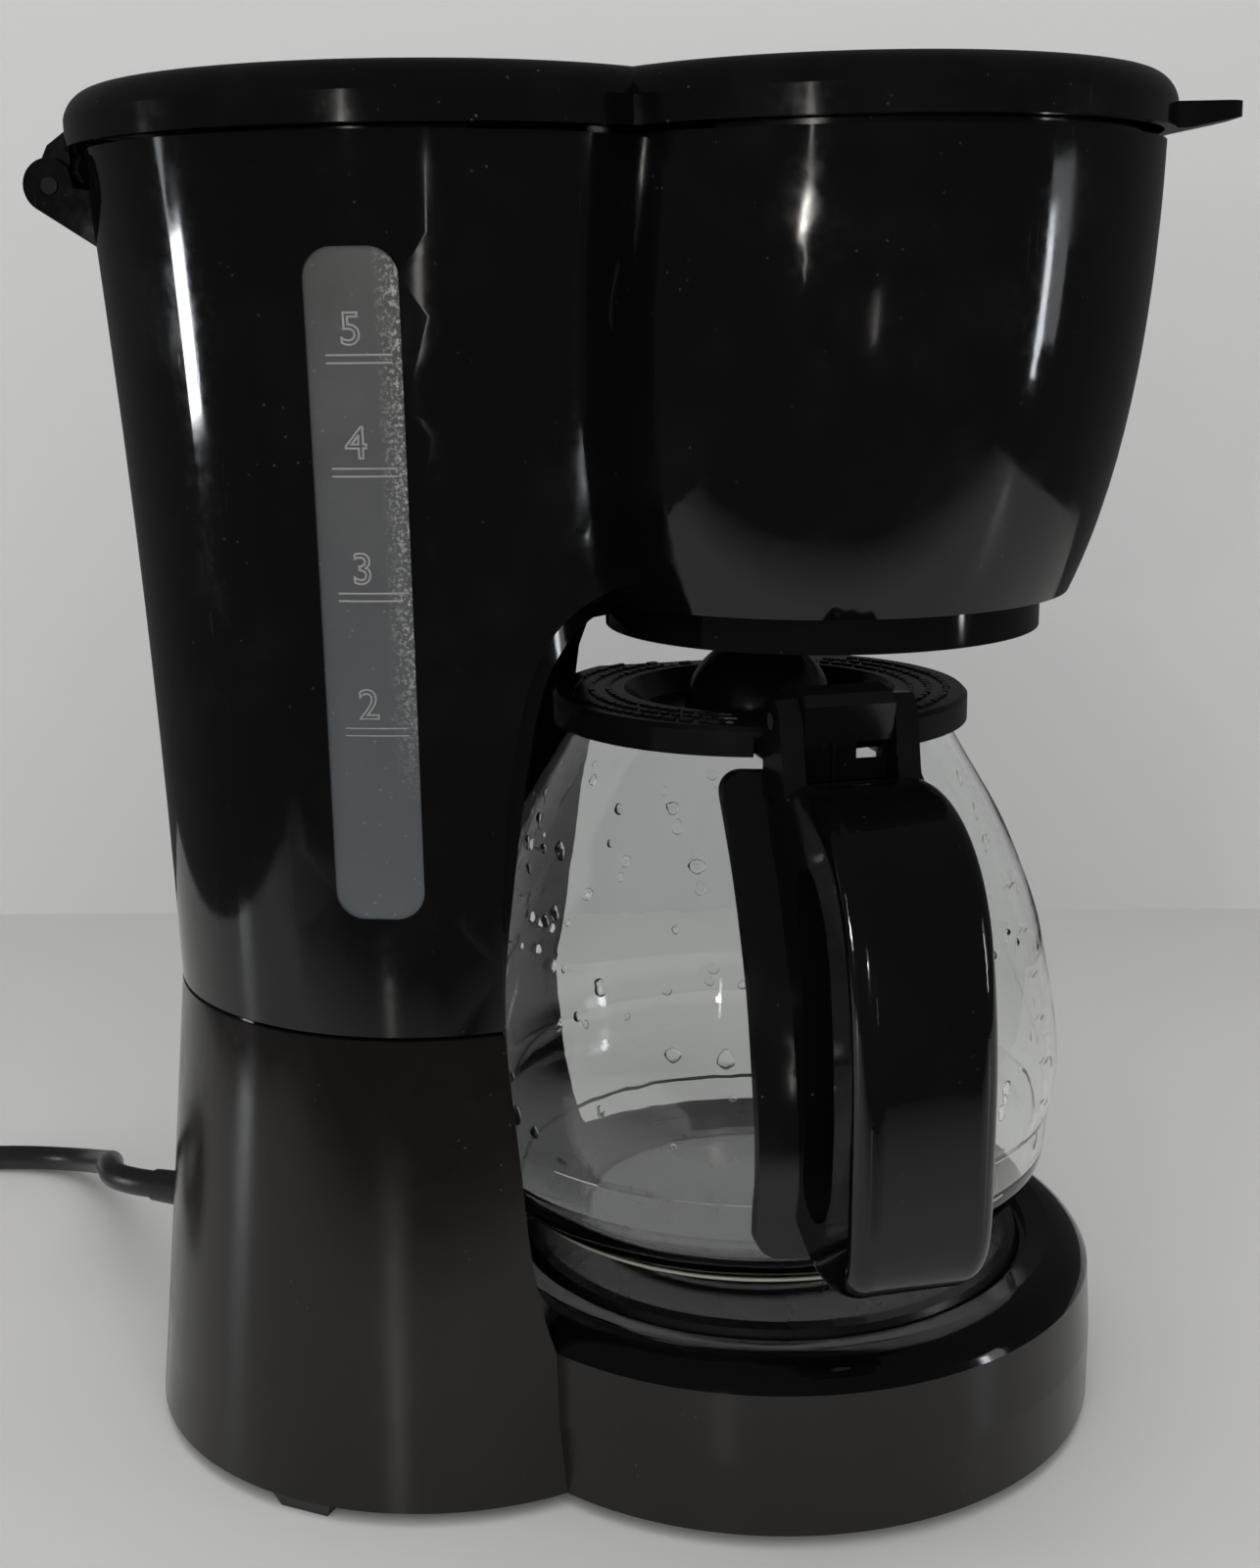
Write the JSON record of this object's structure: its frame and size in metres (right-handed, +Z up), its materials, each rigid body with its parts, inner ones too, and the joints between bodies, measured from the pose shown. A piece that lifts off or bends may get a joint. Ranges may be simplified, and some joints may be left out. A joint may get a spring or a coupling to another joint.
{
  "type": "drip coffee maker",
  "caption": "Small black drip coffee maker: lidded tank column with water gauge, rounded brewing head, warming plate and a glass carafe with a looped handle.",
  "frame": {"origin": "middle of the machine's footprint (cord left out), at the bottom of the feet", "axes": "+Z up, -Y the front where the carafe comes out, +Y the tank and cord end, -X the water gauge side"},
  "size_m": [0.1953, 0.3722, 0.2597],
  "materials": {
    "black_body": "gloss",
    "gauge_plastic": "translucent, satin",
    "brew_plastic": "matte",
    "steel": "satin",
    "plate_coating": "non-stick coating, satin",
    "silicone": "matte",
    "rubber_feet": "matte",
    "heater_metal": "as cast",
    "switch_plastic": "gloss",
    "wire_cover": "matte",
    "glass": "clear",
    "cord_cover": "satin",
    "blade_brass": "plated"
  },
  "bodies": {
    "machine": {"upper_housing": "black_body", "base_shell": "black_body", "gauge_window": "gauge_plastic", "filter_basket": "brew_plastic", "drip_valve_cage": "brew_plastic", "water_spout": "brew_plastic", "bottom_cover": "brew_plastic", "check_valve": "brew_plastic", "riser_tube": "brew_plastic", "lid_hinge_pin": "steel", "drip_valve_spring": "steel", "cover_screws": "steel", "heater_bracket": "steel", "hose_clips": "steel", "warming_plate": "plate_coating", "plate_gasket": "silicone", "inlet_hose": "silicone", "outlet_hose": "silicone", "feet": "rubber_feet", "heater": "heater_metal", "thermostat": "heater_metal", "power_switch": "switch_plastic", "lead_wires": "wire_cover", "wire_joints": "wire_cover", "thermal_fuses": "wire_cover", "strain_relief": "cord_cover", "cord": "cord_cover", "cord_coil": "cord_cover", "cord_tie": "cord_cover", "plug_body": "cord_cover", "plug_blades": "blade_brass"},
    "lid_body": {"lid": "black_body"},
    "carafe": {"carafe_glass": "glass", "handle_frame": "black_body", "handle_cover": "black_body", "handle_screw": "steel", "carafe_lid": "black_body", "carafe_lid_pin": "steel"},
    "drip_valve": {"drip_valve_stem": "brew_plastic", "drip_valve_seal": "silicone"},
    "rocker": {"power_rocker": "switch_plastic"},
    "check_ball": {"check_valve_ball": "heater_metal"}
  },
  "joints": [
    {"name": "lid_hinge", "type": "hinge", "parent": "machine", "child": "lid_body", "pos_m": [0.01225, 0.10541, 0.2425], "axis": [-1, 0, 0], "range_deg": [0, 100]},
    {"name": "carafe_slide", "type": "slide", "parent": "machine", "child": "carafe", "axis": [0, -1, 0], "range_m": [0, 0.21]},
    {"name": "drip_valve_lift", "type": "slide", "parent": "machine", "child": "drip_valve", "axis": [0, 0, 1], "range_m": [0, 0.0025], "stiffness_N_per_m": 150, "deforming": ["drip_valve_spring"]},
    {"name": "power_rocker_tilt", "type": "hinge", "parent": "machine", "child": "rocker", "pos_m": [0.05371, -0.0755, 0.017], "axis": [0, 0, 1], "range_deg": [0, 14]},
    {"name": "check_ball_lift", "type": "slide", "parent": "machine", "child": "check_ball", "axis": [0, 1, 0], "range_m": [0, 0.0012]}
  ]
}
